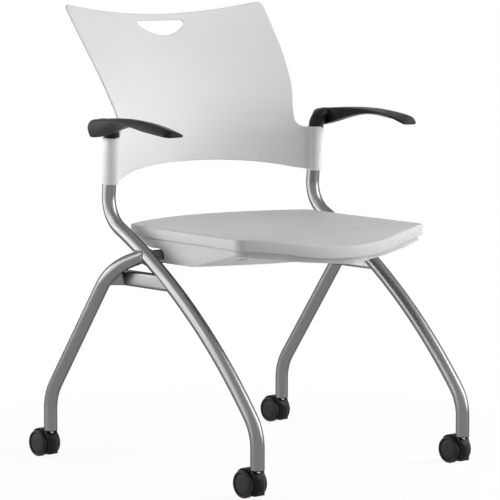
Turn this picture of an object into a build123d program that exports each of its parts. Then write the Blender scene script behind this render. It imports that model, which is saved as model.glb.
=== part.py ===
"""Nesting chair: plastic shell back, flip-up seat, bent tube frame, arms and four twin-wheel casters.

Units are millimetres.  +Z is up, the sitter faces -Y and +X is the sitter's left.  The pieces are
drawn from the rear caster axes (Y = 0) and moved by MIDDLE_Y as they are written, so that the
origin is on the floor under the middle of the whole chair.
"""
import os
from math import cos, radians, sin

from build123d import *

os.makedirs("parts", exist_ok=True)

# ---------------------------------------------------------------- driving dimensions
MIDDLE_Y = 259.4           # from the rear caster axes to the middle of the footprint

# frame tube
TUBE_R = 12.7               # one-inch round tube
TUBE_WALL = 2.0
TUBE_BORE_R = TUBE_R - TUBE_WALL
TUBE_END_Z = 51.5           # lower cut ends of all four legs
FRONT_X = 252.0             # plane of the front leg and upright
FRONT_Y = -553.7            # front stub axis
REAR_X = 290.0              # plane of the rear leg
FRONT_STUB_TOP_Z = 88.3
LOWER_BEND_R = 87.0
LEG_SWEEP_R = 1105.0        # long gentle bow of the front leg
UPPER_BEND_R = 62.7
LEG_LOW_ANGLE = 51.8        # slope of the front leg where it leaves the lower bend
LEG_HIGH_ANGLE = 27.0       # slope where it enters the upper bend
UPRIGHT_ANGLE = 95.2        # upright leans slightly forward
UPRIGHT_TOP_Z = 609.0

# rear leg
REAR_BEND_Z = 118.7
REAR_TOP_BEND = (REAR_X, -187.0, 374.5)
REAR_TOP_BEND_R = 110.0
REAR_LEG_END = (FRONT_X, -243.0, 401.5)     # on the axis of the front tube

# side brace between rear leg and front tube
BRACE_LOW_Z = 341.5
BRACE_HIGH_Z = 371.0
BRACE_T = 12.0
BRACE_X = 258.0
BRACE_TURN_Y = -187.0

# seat pivot
PIVOT_Y = -243.5
PIVOT_Z = 396.5
PIVOT_GAP = 0.05            # running clearance of the bushings on the cross tube
CLAMP_X = 150.0
CLAMP_W = 34.0
BUSH_R = 14.7
CLAMP_R = 18.0
FLANGE_T = 3.0
FLANGE_END_Y = -194.0

# stops: a tab under the cross tube meets a rubber bumper when the seat is down, and the
# underside of the pan when it is up
STOP_X = 110.0
STOP_W = 20.0
STOP_T = 4.0
STOP_FRONT_Y = -277.5
STOP_REAR_Y = -226.2
STOP_GAP = 0.3

# seat
SEAT_SIDE_X = 227.5         # half width at the front corners
SEAT_REAR_X = 223.0
SEAT_FRONT_Y = -531.0
SEAT_REAR_Y = -79.0
PAN_INSET = 3.5
PAN_FRONT_INSET = 6.5       # the pan stands further back under the front edge
PAN_REAR_Z = 413.0          # underside behind the pivot
PAN_DEEP_Z = 385.5          # underside of the belly in front of the pivot
PAN_DEEP_Y = -259.5         # step from the flat underside down to the belly
CHEEK_IN_X = 217.5          # inner face of the side wall that arches over the cross tube
CHEEK_R = 14.2

# screws driven up into the pan: X, Y and the height that the head seats against
SCREW_R = 2.4
SCREW_HEAD_R = 4.6
SCREW_LEN = 11.0
RECESS_R = 9.0
FRONT_SCREWS = [(x, -430.6, 410.0) for x in (-180.0, 180.0)]
REAR_SCREWS = [(x, -168.7, PAN_REAR_Z) for x in (-195.0, 195.0)]
CLAMP_SCREWS = [(x, -205.3, PAN_REAR_Z - FLANGE_T) for x in (-160.0, -140.0, 140.0, 160.0)]

# back shell
SHELL_T = 4.5
SLEEVE_R = 16.5
SLEEVE_LOW_Z = 524.0
SLEEVE_TOP_Z = 609.6
SHELL_HALF = 240.0          # half width at which the sag of the shell is given
SLOT_HALF = 57.0
SLOT_TOP_Z = 817.5
SLOT_LOW_Z = 789.0

# arm
POST_R = 14.4

# casters
WHEEL_R = 25.0
WHEEL_IN_X = 6.5
WHEEL_OUT_X = 20.5
TRAIL = 20.0                # axle behind the swivel axis
AXLE_R = 3.0
AXLE_GAP = 0.05
STEM_R = 5.5
HOOD_TOP_Z = 49.5
HOOD_CLEAR_R = 26.0


def save(shape, name):
    """Move a finished piece to the chair's own origin and write it."""
    placed = Pos(0, MIDDLE_Y, 0) * shape
    placed.label = name
    export_step(placed, f"parts/{name}.step")


def save_pair(shape, name):
    """Write the sitter's left piece and its mirror image."""
    save(shape, f"{name}_left")
    save(mirror(shape, about=Plane.YZ), f"{name}_right")


def rod_x(radius, x0, x1, y, z):
    """Solid cylinder along X from x0 to x1."""
    plane = Plane(origin=(x0, y, z), z_dir=(1, 0, 0))
    return extrude(plane * Circle(radius), x1 - x0)


def rod_z(radius, x, y, z0, z1):
    """Solid cylinder along Z from z0 to z1."""
    return extrude(Plane(origin=(x, y, z0)) * Circle(radius), z1 - z0)


def block(x0, x1, y0, y1, z0, z1):
    """Box between two corners."""
    return Pos((x0 + x1) / 2, (y0 + y1) / 2, (z0 + z1) / 2) * Box(x1 - x0, y1 - y0, z1 - z0)


# ---------------------------------------------------------------- front leg and upright
def side_bend(start, angle, new_angle, radius):
    """Arc in the plane X = FRONT_X that starts along angle and ends along new_angle (from +Y)."""
    turn = 1 if new_angle > angle else -1
    centre_y = start[1] - turn * radius * sin(radians(angle))
    centre_z = start[2] + turn * radius * cos(radians(angle))

    def at(a):
        return (
            FRONT_X,
            centre_y + turn * radius * sin(radians(a)),
            centre_z - turn * radius * cos(radians(a)),
        )

    end = at(new_angle)
    return ThreePointArc(start, at((angle + new_angle) / 2), end), end


def front_path():
    """Centre line from the front caster up to the arm: stub, bend, bowed leg, bend, upright."""
    foot = (FRONT_X, FRONT_Y, TUBE_END_Z)
    stub_top = (FRONT_X, FRONT_Y, FRONT_STUB_TOP_Z)
    lower, lower_end = side_bend(stub_top, 90.0, LEG_LOW_ANGLE, LOWER_BEND_R)
    bow, bow_end = side_bend(lower_end, LEG_LOW_ANGLE, LEG_HIGH_ANGLE, LEG_SWEEP_R)
    upper, upper_end = side_bend(bow_end, LEG_HIGH_ANGLE, UPRIGHT_ANGLE, UPPER_BEND_R)
    rise = UPRIGHT_TOP_Z - upper_end[2]
    top = (FRONT_X, upper_end[1] + rise / sin(radians(UPRIGHT_ANGLE)) * cos(radians(UPRIGHT_ANGLE)),
           UPRIGHT_TOP_Z)
    wire = Wire([Line(foot, stub_top).edge(), lower.edge(), bow.edge(), upper.edge(),
                 Line(upper_end, top).edge()])
    return wire, foot, top


def tube(path, start, radius, bore=0.0):
    """Round tube, or solid rod, swept along a path that leaves its start straight up."""
    section = Plane(origin=start) * Circle(radius)
    if bore:
        section = section - Plane(origin=start) * Circle(bore)
    return sweep(section, path=path)


FRONT_PATH, FRONT_FOOT, UPRIGHT_TOP = front_path()
UPRIGHT_DIR = Vector(0, cos(radians(UPRIGHT_ANGLE)), sin(radians(UPRIGHT_ANGLE)))
FRONT_ROD = tube(FRONT_PATH, FRONT_FOOT, TUBE_R)
FRONT_TUBE = tube(FRONT_PATH, FRONT_FOOT, TUBE_R, TUBE_BORE_R)


def upright_plane(z):
    """Plane square to the upright's axis at height z."""
    reach = (z - UPRIGHT_TOP_Z) / UPRIGHT_DIR.Z
    return Plane(origin=Vector(*UPRIGHT_TOP) + UPRIGHT_DIR * reach, x_dir=(1, 0, 0),
                 z_dir=UPRIGHT_DIR)


# ---------------------------------------------------------------- rear leg
def rear_leg():
    """Hollow rear leg, coped on to the outer rear side of the front tube, and its solid rod."""
    foot = (REAR_X, 0, TUBE_END_Z)
    path = FilletPolyline(foot, (REAR_X, 0, REAR_BEND_Z), REAR_TOP_BEND, REAR_LEG_END,
                          radius=[LOWER_BEND_R, REAR_TOP_BEND_R]).wire()
    rod = tube(path, foot, TUBE_R)
    leg = tube(path, foot, TUBE_R, TUBE_BORE_R) - FRONT_ROD
    return leg, rod


REAR_LEG, REAR_ROD = rear_leg()


def side_brace():
    """Flat oval bar from the rear leg forward to the front tube, with a turned rear end."""
    rear_y = -176.0
    plan = FilletPolyline((BRACE_X, -340, 0), (BRACE_X, BRACE_TURN_Y, 0), (REAR_X - 3, rear_y + 9, 0),
                          radius=14)
    start = Plane(origin=(BRACE_X, -340, (BRACE_LOW_Z + BRACE_HIGH_Z) / 2), x_dir=(1, 0, 0),
                  z_dir=(0, 1, 0))
    height = BRACE_HIGH_Z - BRACE_LOW_Z
    section = start * RectangleRounded(BRACE_T, height, BRACE_T / 2 - 0.4)
    lifted = Pos(0, 0, (BRACE_LOW_Z + BRACE_HIGH_Z) / 2) * plan.wire()
    bar = sweep(section, path=lifted)
    # the two slanted ends run along the axes of the tubes they meet
    slope = (REAR_TOP_BEND[2] - REAR_BEND_Z) / REAR_TOP_BEND[1]
    rear_low = (BRACE_LOW_Z - 5 - REAR_BEND_Z) / slope
    rear_high = (BRACE_HIGH_Z + 5 - REAR_BEND_Z) / slope
    side = Plane(origin=(200, 0, 0), x_dir=(0, 1, 0), z_dir=(1, 0, 0))
    keep = Polyline((rear_low, BRACE_LOW_Z - 5), (rear_high, BRACE_HIGH_Z + 5),
                    (-284.0, BRACE_HIGH_Z + 5), (-338.0, BRACE_LOW_Z - 5), close=True)
    window = extrude(side * make_face(keep), 120)
    return (bar & window) - FRONT_ROD - REAR_ROD


# ---------------------------------------------------------------- seat pivot on the frame
STOP_LOW_Z = PIVOT_Z - TUBE_R - STOP_T


def cross_tube():
    """Cross tube between the front tubes: the seat's clamps turn on it."""
    tube_x = rod_x(TUBE_R, -FRONT_X, FRONT_X, PIVOT_Y, PIVOT_Z)
    bore = rod_x(TUBE_BORE_R, -FRONT_X - 1, FRONT_X + 1, PIVOT_Y, PIVOT_Z)
    ends = FRONT_ROD + REAR_ROD
    return tube_x - bore - ends - mirror(ends, about=Plane.YZ)


def stop_tab():
    """Plate welded under the cross tube that stops the seat at both ends of its travel."""
    plate = block(STOP_X - STOP_W / 2, STOP_X + STOP_W / 2, STOP_FRONT_Y, STOP_REAR_Y,
                  STOP_LOW_Z, STOP_LOW_Z + STOP_T)
    saddle = block(STOP_X - STOP_W / 2, STOP_X + STOP_W / 2, PIVOT_Y - 7, PIVOT_Y + 7,
                   STOP_LOW_Z, PIVOT_Z)
    return plate + saddle - rod_x(TUBE_R, 0, 200, PIVOT_Y, PIVOT_Z)


# ---------------------------------------------------------------- seat
def seat_plan(inset=0.0, front_inset=0.0):
    """Plan outline of the seat: bowed front and rear edges, straight sides, small corners."""
    side = SEAT_SIDE_X - inset
    rear_side = SEAT_REAR_X - inset
    front = SEAT_FRONT_Y + front_inset
    rear = SEAT_REAR_Y - inset
    bow = [(-215.0, 52.5), (-205.0, 48.5), (-175.0, 38.0), (-140.0, 29.0), (-100.0, 19.0),
           (-50.0, 9.5), (0.0, 0.0)]
    front_edge = [(x + inset if x < -200 else x, front + back) for x, back in bow]
    rear_edge = [(212 - inset, -151 - inset), (172, -128 - inset), (120, -103.5 - inset),
                 (62, -85.5 - inset), (0, rear)]
    front_points = front_edge + [(-x, y) for x, y in reversed(front_edge[:-1])]
    rear_points = rear_edge + [(-x, y) for x, y in reversed(rear_edge[:-1])]
    front_curve = Spline(*front_points)
    rear_curve = Spline(*rear_points)
    corner_mid = (side - 3.2, front + 60.5)
    corner_front = ThreePointArc(front_points[-1], corner_mid, (side, front + 70.0))
    corner_rear = ThreePointArc((rear_side, -174), (rear_side - 2.2, -160.5), rear_points[0])
    left = [corner_front, Line((side, front + 70.0), (rear_side, -174)), corner_rear]
    right = [mirror(c, about=Plane.YZ) for c in left]
    edges = [e for c in [front_curve, rear_curve, *left, *right] for e in c.edges()]
    return make_face(Wire.combine(edges)[0].edges())


TOP_LINE = [(-60, 452), (-120, 450.3), (-200, 448.5), (-300, 446.8), (-400, 445.3), (-450, 444.8),
            (-476, 444.2), (-491, 441.8), (-502, 437.2), (-512, 431.8), (-522, 426.8), (-532, 422.5),
            (-545, 417)]
SKIRT_LINE = [(-60, 431), (-200, 428.5), (-400, 427), (-450, 426.2), (-476, 424.6), (-492, 420.8),
              (-503, 416.2), (-512, 410.8), (-522, 405.3), (-532, 401), (-545, 396)]


def side_slab(upper, lower, half=240.0):
    """Solid between two side-view curves, right across the seat."""
    plane = Plane(origin=(-half, 0, 0), x_dir=(0, 1, 0), z_dir=(1, 0, 0))
    top = Spline(*upper)
    bottom = Spline(*lower)
    front = Line(upper[-1], lower[-1])
    rear = Line(upper[0], lower[0])
    return extrude(plane * make_face([*top.edges(), *front.edges(), *bottom.edges(), *rear.edges()]),
                   2 * half)


def seat_top():
    """Upper seat moulding: bowed slab with a rolled front edge and a shallow dish."""
    slab = side_slab(TOP_LINE, SKIRT_LINE)
    body = extrude(Pos(0, 0, 380) * seat_plan(), 90) & slab
    dish_r = 3200.0
    dish = Pos(0, -300, 446.6 - 6.5 + dish_r) * Sphere(dish_r)
    return body - dish


def seat_pan():
    """Lower seat moulding: shallow behind the pivot, a convex belly in front of it."""
    prism = extrude(Pos(0, 0, 370) * seat_plan(PAN_INSET, PAN_FRONT_INSET), 90)
    # side view: flat underside behind the pivot, a shallow band under the skirt in front of it
    step_y = PAN_DEEP_Y - 8
    band = [(step_y, 416.5), (-400, 416), (-450, 415.4), (-470, 413.6), (-484, 409.6),
            (-495, 404.4), (-504, 399.8), (-513, 395.4), (-524, 391.3), (-545, 385)]
    curves = [
        Spline(*SKIRT_LINE),
        Line(SKIRT_LINE[-1], band[-1]),
        Spline(*reversed(band)),
        Polyline(band[0], (step_y, PAN_REAR_Z), (-104, PAN_REAR_Z), SKIRT_LINE[0]),
    ]
    side_view = make_face([e for curve in curves for e in curve.edges()])
    plane = Plane(origin=(-240, 0, 0), x_dir=(0, 1, 0), z_dir=(1, 0, 0))
    shallow = prism & extrude(plane * side_view, 480)
    # the belly narrows forward and downward from a full-width step in front of the pivot
    side = SEAT_SIDE_X - PAN_INSET
    belly_top_z = 417.0
    high_half = [(side, PAN_DEEP_Y), (side, -466), (205, -476), (150, -490), (70, -507), (30, -512)]
    low_half = [(side - 1, PAN_DEEP_Y), (side - 2, -338), (190, -354), (140, -374), (70, -394),
                (30, -400)]
    high = Polyline(*[(x, y, belly_top_z) for x, y in high_half],
                    *[(-x, y, belly_top_z) for x, y in reversed(high_half)], close=True)
    low = Polyline(*[(x, y, PAN_DEEP_Z) for x, y in low_half],
                   *[(-x, y, PAN_DEEP_Z) for x, y in reversed(low_half)], close=True)
    belly = loft([make_face(high.edges()), make_face(low.edges())], ruled=True)
    under = [(y, z - 2) for y, z in SKIRT_LINE]
    belly = belly & prism & side_slab(under, [(-60, 360), (-300, 360), (-545, 360)])
    # the side walls come down behind the belly and arch over the cross tube
    arch_z = PIVOT_Z + CHEEK_R
    cheek_line = Polyline((PAN_DEEP_Y - 3, PAN_DEEP_Z), (PAN_DEEP_Y, PAN_DEEP_Z),
                          (PIVOT_Y - CHEEK_R, PIVOT_Z), (PIVOT_Y, PIVOT_Z), (PIVOT_Y, arch_z),
                          (PIVOT_Y + 20, arch_z), (PIVOT_Y + 36, PAN_REAR_Z),
                          (PIVOT_Y + 36, PAN_REAR_Z + 5), (PAN_DEEP_Y - 3, PAN_REAR_Z + 5), close=True)
    cheek_plane = Plane(origin=(CHEEK_IN_X, 0, 0), x_dir=(0, 1, 0), z_dir=(1, 0, 0))
    cheek = extrude(cheek_plane * make_face(cheek_line.edges()), 20) & prism
    cheek = cheek - rod_x(CHEEK_R, 200, 240, PIVOT_Y, PIVOT_Z)
    pan = shallow + belly + cheek + mirror(cheek, about=Plane.YZ)
    # round recesses in the belly's slope for the two front screws
    for x, y, seat_z in FRONT_SCREWS:
        pan = pan - rod_z(RECESS_R, x, y, PAN_DEEP_Z, seat_z)
    for x in (-CLAMP_X, CLAMP_X):
        pan = pan - rod_x(CLAMP_R, x - CLAMP_W / 2, x + CLAMP_W / 2, PIVOT_Y, PIVOT_Z)
    return pan


def pivot_clamp():
    """Steel clamp that wraps the bushing and is screwed under the seat pan."""
    ring = rod_x(CLAMP_R, CLAMP_X - CLAMP_W / 2, CLAMP_X + CLAMP_W / 2, PIVOT_Y, PIVOT_Z)
    flange = block(CLAMP_X - CLAMP_W / 2, CLAMP_X + CLAMP_W / 2, PIVOT_Y + 8, FLANGE_END_Y,
                   PAN_REAR_Z - FLANGE_T, PAN_REAR_Z)
    body = ring + flange
    return body - rod_x(BUSH_R, 100, 200, PIVOT_Y, PIVOT_Z)


def pivot_bushing():
    """Nylon bushing between clamp and cross tube."""
    x0 = CLAMP_X - CLAMP_W / 2
    outer = rod_x(BUSH_R, x0, x0 + CLAMP_W, PIVOT_Y, PIVOT_Z)
    return outer - rod_x(TUBE_R + PIVOT_GAP, x0 - 1, x0 + CLAMP_W + 1, PIVOT_Y, PIVOT_Z)


def stop_bumper():
    """Rubber pad under the belly that comes down on the stop tab."""
    return block(STOP_X - 9, STOP_X + 9, STOP_FRONT_Y + 2, PAN_DEEP_Y - 2,
                 STOP_LOW_Z + STOP_T + STOP_GAP, PAN_DEEP_Z)


def screw_hole(x, y, seat_z):
    """Hole for the shank of a screw whose head sits under seat_z."""
    return rod_z(SCREW_R + 0.06, x, y, seat_z - 1, seat_z + SCREW_LEN + 0.5)


def underside_screw(x, y, seat_z):
    """Pan-head screw driven up into the seat pan, head under seat_z."""
    head = rod_z(SCREW_HEAD_R, x, y, seat_z - 3, seat_z)
    head = fillet(head.edges().group_by(Axis.Z)[0], 1.4)
    shank = rod_z(SCREW_R, x, y, seat_z, seat_z + SCREW_LEN)
    drive = rod_z(1.6, x, y, seat_z - 3, seat_z - 1.2)
    return head + shank - drive


# ---------------------------------------------------------------- back shell
def centre_y(z):
    """Front face of the shell on the centre line."""
    heights = (500.0, 560.0, 606.0, 643.0, 679.0, 715.0, 751.0, 788.0, 825.0, 870.0)
    depths = (-57.0, -60.0, -61.0, -55.0, -44.0, -28.0, -9.0, 13.0, 34.0, 60.0)
    for i in range(len(heights) - 1):
        if z <= heights[i + 1]:
            part = (z - heights[i]) / (heights[i + 1] - heights[i])
            return depths[i] + part * (depths[i + 1] - depths[i])
    return depths[-1]


def sag(z):
    """How far the shell's front face stands forward of the centre at SHELL_HALF."""
    return 84.0 - 44.0 * max(0.0, (z - 606.0) / 240.0)


def shell_section(z):
    """Closed section of the shell at height z, wider than the finished shell."""
    span = (-258, -190, -120, -60, 0, 60, 120, 190, 258)
    front = [(x, centre_y(z) - sag(z) * (x / SHELL_HALF) ** 2) for x in span]
    back = [(x, y + SHELL_T) for x, y in front]
    lines = [Spline(*front), Line(front[-1], back[-1]), Spline(*reversed(back)),
             Line(back[0], front[0])]
    face = make_face([e for line in lines for e in line.edges()])
    return Pos(0, 0, z) * face


def shell_outline():
    """Front view of the shell: arched bottom, waisted sides, dished top edge."""
    arch = [(FRONT_X, 525.5), (223, 528.5), (181, 537), (130, 543.8), (65, 548.3), (0, 549.5)]
    arch_points = arch + [(-x, z) for x, z in reversed(arch[:-1])]
    side = [(214.8, 626), (216.4, 643), (225.2, 679), (231.6, 715), (236.6, 751), (240, 788),
            (242.4, 825), (243, 838)]
    top = [(231, 850.8), (181, 843), (120, 835.4), (60, 831), (0, 829.5)]
    top_points = top + [(-x, z) for x, z in reversed(top[:-1])]
    left = [
        Line(arch_points[0], (FRONT_X, 610)),
        Line((FRONT_X, 610), (231, 610)),
        ThreePointArc((231, 610), (219.4, 614.7), side[0]),
        Spline(*side),
        ThreePointArc(side[-1], (239.6, 848.6), top_points[0]),
    ]
    right = [mirror(c, about=Plane.YZ) for c in left]
    curves = [Spline(*arch_points), Spline(*top_points), *left, *right]
    edges = [e for c in curves for e in c.edges()]
    return make_face(Wire.combine(edges)[0].edges())


def hand_slot():
    """D-shaped hand slot near the top edge, as a solid to cut."""
    high_half = SLOT_HALF - 6
    plan = [
        Line((-high_half, SLOT_TOP_Z), (high_half, SLOT_TOP_Z)),
        ThreePointArc((high_half, SLOT_TOP_Z), (SLOT_HALF - 1.2, SLOT_TOP_Z - 2.6),
                      (SLOT_HALF - 1.5, SLOT_TOP_Z - 8)),
        ThreePointArc((SLOT_HALF - 1.5, SLOT_TOP_Z - 8), (0, SLOT_LOW_Z),
                      (-SLOT_HALF + 1.5, SLOT_TOP_Z - 8)),
        ThreePointArc((-SLOT_HALF + 1.5, SLOT_TOP_Z - 8), (-SLOT_HALF + 1.2, SLOT_TOP_Z - 2.6),
                      (-high_half, SLOT_TOP_Z)),
    ]
    front = Plane(origin=(0, 120, 0), x_dir=(1, 0, 0), z_dir=(0, -1, 0))
    return extrude(front * make_face([e for line in plan for e in line.edges()]), 240)


def back_shell():
    """One moulding: curved shell and the two sleeves that slide over the uprights."""
    heights = (505.0, 560.0, 606.0, 643.0, 679.0, 715.0, 751.0, 788.0, 825.0, 868.0)
    body = loft([shell_section(z) for z in heights])
    front = Plane(origin=(0, 140, 0), x_dir=(1, 0, 0), z_dir=(0, -1, 0))
    body = body & extrude(front * shell_outline(), 340)
    body = body - hand_slot()
    sleeve_len = (SLEEVE_TOP_Z - SLEEVE_LOW_Z) / UPRIGHT_DIR.Z
    low = upright_plane(SLEEVE_LOW_Z)
    sleeve = extrude(low * Circle(SLEEVE_R), sleeve_len)
    bore = extrude(upright_plane(SLEEVE_LOW_Z - 5) * Circle(TUBE_R), sleeve_len + 20)
    ring = fillet(sleeve.edges(), 1.2)
    body = body + ring + mirror(ring, about=Plane.YZ)
    trim = block(FRONT_X, 300, -200, 0, 500, 620) - sleeve
    post_room = extrude(upright_plane(SLEEVE_TOP_Z) * Circle(POST_R + 0.3), 12)
    cut = trim + bore + post_room
    return body - cut - mirror(cut, about=Plane.YZ)


# ---------------------------------------------------------------- arm
# stations of the arm pad from its rear end to its tip: Y, then (X, Z) of the inner bottom edge,
# inner top edge, crown, outer top edge and outer bottom edge
ARM_STATIONS = (
    (-104, (268.5, 611.5), (273.0, 641.8), (280.5, 643.2), (287.0, 640.5), (279.0, 610.0)),
    (-138, (268.0, 613.0), (273.0, 643.5), (283.0, 645.2), (289.0, 642.0), (280.5, 611.5)),
    (-172, (267.8, 620.2), (273.0, 645.8), (286.5, 647.8), (291.5, 643.4), (282.0, 617.8)),
    (-210, (268.2, 630.2), (273.2, 647.4), (291.0, 650.2), (296.0, 644.0), (285.0, 628.2)),
    (-250, (269.0, 637.6), (273.4, 647.4), (295.5, 651.2), (301.0, 642.2), (295.0, 636.4)),
    (-290, (269.2, 640.0), (273.0, 644.2), (298.5, 649.6), (304.6, 637.4), (302.6, 633.6)),
    (-330, (269.0, 635.2), (271.8, 638.4), (299.0, 645.2), (306.8, 631.0), (306.0, 626.8)),
    (-358, (269.0, 629.4), (270.6, 632.4), (299.5, 640.4), (308.4, 628.6), (308.0, 625.0)),
    (-370, (269.2, 625.8), (270.0, 628.6), (299.5, 636.0), (309.0, 627.8), (308.8, 624.6)),
)


def arm_section(y, inner_low, inner_high, crown, outer_high, outer_low):
    """Section of the arm pad: domed top, thin rounded sides, straight underside."""
    shoulder = (0.55 * inner_high[0] + 0.45 * crown[0], 0.5 * (inner_high[1] + crown[1]) + 1.0)
    top = Spline(inner_high, shoulder, crown, outer_high)
    rest = Polyline(outer_high, outer_low, inner_low, inner_high)
    face = make_face([*top.edges(), *rest.edges()])
    face = fillet(face.vertices(), 1.1)
    return Plane(origin=(0, y, 0), x_dir=(1, 0, 0), z_dir=(0, -1, 0)) * face


def arm():
    """Arm moulding: tall blade at the rear that flattens to a paddle, elbow, post and peg."""
    pad = loft([arm_section(*station) for station in ARM_STATIONS])
    # blunt rear end with rounded upper and lower corners
    side = Plane(origin=(240, -158.5, 627.9), x_dir=(0, 1, 0), z_dir=(1, 0, 0))
    rear_end = extrude(side * RectangleRounded(100, 35, 12.5), 80)
    pad = pad & (rear_end + block(240, 320, -400, -150, 600, 670))
    # round post on the upright that turns outward into the blade
    foot = upright_plane(SLEEVE_TOP_Z)
    corner = foot.origin + UPRIGHT_DIR * 22
    turn = FilletPolyline(foot.origin, corner, corner + Vector(25, 0, 0), radius=20)
    elbow = sweep(foot * Circle(POST_R), path=turn.wire())
    peg = extrude(upright_plane(UPRIGHT_TOP_Z - 28) * Circle(TUBE_BORE_R), 32)
    return pad + elbow + peg


# ---------------------------------------------------------------- casters
def caster_socket(x, y):
    """Plug in the tube's end that holds the caster stem."""
    plug = rod_z(TUBE_BORE_R, x, y, TUBE_END_Z, TUBE_END_Z + 34)
    flange = rod_z(TUBE_R - 0.3, x, y, TUBE_END_Z - 1.5, TUBE_END_Z)
    return plug + flange - rod_z(STEM_R + AXLE_GAP, x, y, TUBE_END_Z - 2, TUBE_END_Z + 30)


def caster_hood(x, y):
    """Hood: stem housing in front, web between the wheels and a short fender over them."""
    axle_y = y + TRAIL
    housing = rod_z(TUBE_R, x, y, 6, HOOD_TOP_Z) & rod_x(33, x - 30, x + 30, axle_y, WHEEL_R)
    web = rod_x(27.6, x - 5.5, x + 5.5, axle_y, WHEEL_R) - block(x - 30, x + 30, y - 40, y + 80, -10, 9)
    fender = rod_x(28.4, x - 12, x + 12, axle_y, WHEEL_R)
    fender = fender - rod_x(HOOD_CLEAR_R, x - 30, x + 30, axle_y, WHEEL_R)
    fender = fender & block(x - 30, x + 30, y - 5, axle_y + 19, WHEEL_R + 14, WHEEL_R + 40)
    hood = housing + web + fender
    for side in (-1, 1):
        near = x + side * (WHEEL_IN_X - 0.6)
        far = x + side * 30
        hood = hood - rod_x(HOOD_CLEAR_R, min(near, far), max(near, far), axle_y, WHEEL_R)
    hood = hood - (rod_z(TUBE_R + 0.8, x, y, HOOD_TOP_Z, 70))
    hood = hood - rod_z(STEM_R, x, y, HOOD_TOP_Z - 22, HOOD_TOP_Z + 1)
    return hood - rod_x(AXLE_R, x - 30, x + 30, axle_y, WHEEL_R)


def caster_stem(x, y):
    """Steel stem: fixed in the hood, turns in the socket, with a retaining groove."""
    stem = rod_z(STEM_R, x, y, HOOD_TOP_Z - 22, TUBE_END_Z + 28)
    groove = rod_z(STEM_R + 1, x, y, TUBE_END_Z + 18, TUBE_END_Z + 20)
    groove = groove - rod_z(STEM_R - 1, x, y, TUBE_END_Z + 17, TUBE_END_Z + 21)
    return stem - groove


def caster_axle(x, y):
    """Steel axle across both wheels."""
    return rod_x(AXLE_R, x - 17, x + 17, y + TRAIL, WHEEL_R)


def caster_wheel(x, y, side):
    """Wheel with a rounded tread, a dished face disc and a blind bore for the axle."""
    bore = AXLE_R + AXLE_GAP
    profile = Polyline((17.3, 0), (19.6, 0), (19.2, 10), (18.8, 18.4), (19.6, 19.2),
                       (WHEEL_OUT_X, 20.2), (WHEEL_OUT_X, 22), (19.4, 24), (17.6, WHEEL_R),
                       (8.3, WHEEL_R), (WHEEL_IN_X, 23.6), (WHEEL_IN_X, 21.5), (9.5, 21.2),
                       (9.5, 7.5), (WHEEL_IN_X, 7.2), (WHEEL_IN_X, bore), (17.3, bore), close=True)
    face = make_face(profile.edges())
    wheel = revolve(face, axis=Axis.X)
    if side < 0:
        wheel = mirror(wheel, about=Plane.YZ)
    return Pos(x, y + TRAIL, WHEEL_R) * wheel


# ---------------------------------------------------------------- write everything
save_pair(FRONT_TUBE, "frame_tube")
save_pair(REAR_LEG, "rear_leg")
save_pair(side_brace(), "side_brace")
save(cross_tube(), "pivot_cross_tube")
save_pair(stop_tab(), "stop_tab")
save(back_shell(), "back_shell")
save_pair(arm(), "arm")

pan = seat_pan()
clamp = pivot_clamp()
for x, y, seat_z in CLAMP_SCREWS:
    hole = screw_hole(x, y, seat_z)
    pan = pan - hole
    clamp = clamp - hole
for x, y, seat_z in FRONT_SCREWS + REAR_SCREWS:
    pan = pan - screw_hole(x, y, seat_z)
clamp_screws = [underside_screw(*at) for at in CLAMP_SCREWS]
pan_screws = [underside_screw(*at) for at in FRONT_SCREWS + REAR_SCREWS]

save(seat_top(), "seat_top")
save(pan, "seat_pan")
save_pair(clamp, "pivot_clamp")
save_pair(pivot_bushing(), "pivot_bushing")
save_pair(stop_bumper(), "stop_bumper")
save(Compound(clamp_screws), "clamp_screws")
save(Compound(pan_screws), "seat_pan_screws")

for end, leg_x, leg_y in (("front", FRONT_X, FRONT_Y), ("rear", REAR_X, 0.0)):
    for hand, sign in (("left", 1), ("right", -1)):
        name = f"{end}_{hand}"
        at = (sign * leg_x, leg_y)
        save(caster_socket(*at), f"caster_socket_{name}")
        save(caster_hood(*at), f"caster_hood_{name}")
        save(caster_stem(*at), f"caster_stem_{name}")
        save(caster_axle(*at), f"caster_axle_{name}")
        save(caster_wheel(*at, sign), f"caster_wheel_outer_{name}")
        save(caster_wheel(*at, -sign), f"caster_wheel_inner_{name}")
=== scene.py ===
"""Nesting chair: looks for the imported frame, made piece by piece in the order of assembly."""

import math

import bmesh
import bpy
import numpy as np
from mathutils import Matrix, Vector
from mathutils.geometry import delaunay_2d_cdt


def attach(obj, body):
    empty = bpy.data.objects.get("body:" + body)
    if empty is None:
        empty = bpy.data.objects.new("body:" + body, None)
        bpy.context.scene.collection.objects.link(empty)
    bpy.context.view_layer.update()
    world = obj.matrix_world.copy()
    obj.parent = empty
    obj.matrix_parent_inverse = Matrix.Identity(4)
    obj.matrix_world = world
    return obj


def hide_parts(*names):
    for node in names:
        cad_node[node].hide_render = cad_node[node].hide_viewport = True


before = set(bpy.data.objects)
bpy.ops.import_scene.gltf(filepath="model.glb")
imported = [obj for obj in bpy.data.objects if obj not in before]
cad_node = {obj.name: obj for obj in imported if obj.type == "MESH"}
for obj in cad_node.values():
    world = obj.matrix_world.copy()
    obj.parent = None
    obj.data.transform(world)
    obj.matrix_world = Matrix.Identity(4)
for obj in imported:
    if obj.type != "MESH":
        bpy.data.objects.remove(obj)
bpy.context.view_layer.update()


# ---------------------------------------------------------------- bent frame tubes
# One-inch steel tube, bent on a mandrel and sprayed satin silver: two front legs that run up into
# the uprights, two rear legs coped on to them, and the cross tube that the seat turns on.
MM = 0.001
MIDDLE_Y = 259.4            # all lengths below are mm, drawn from the rear caster axes
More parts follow.
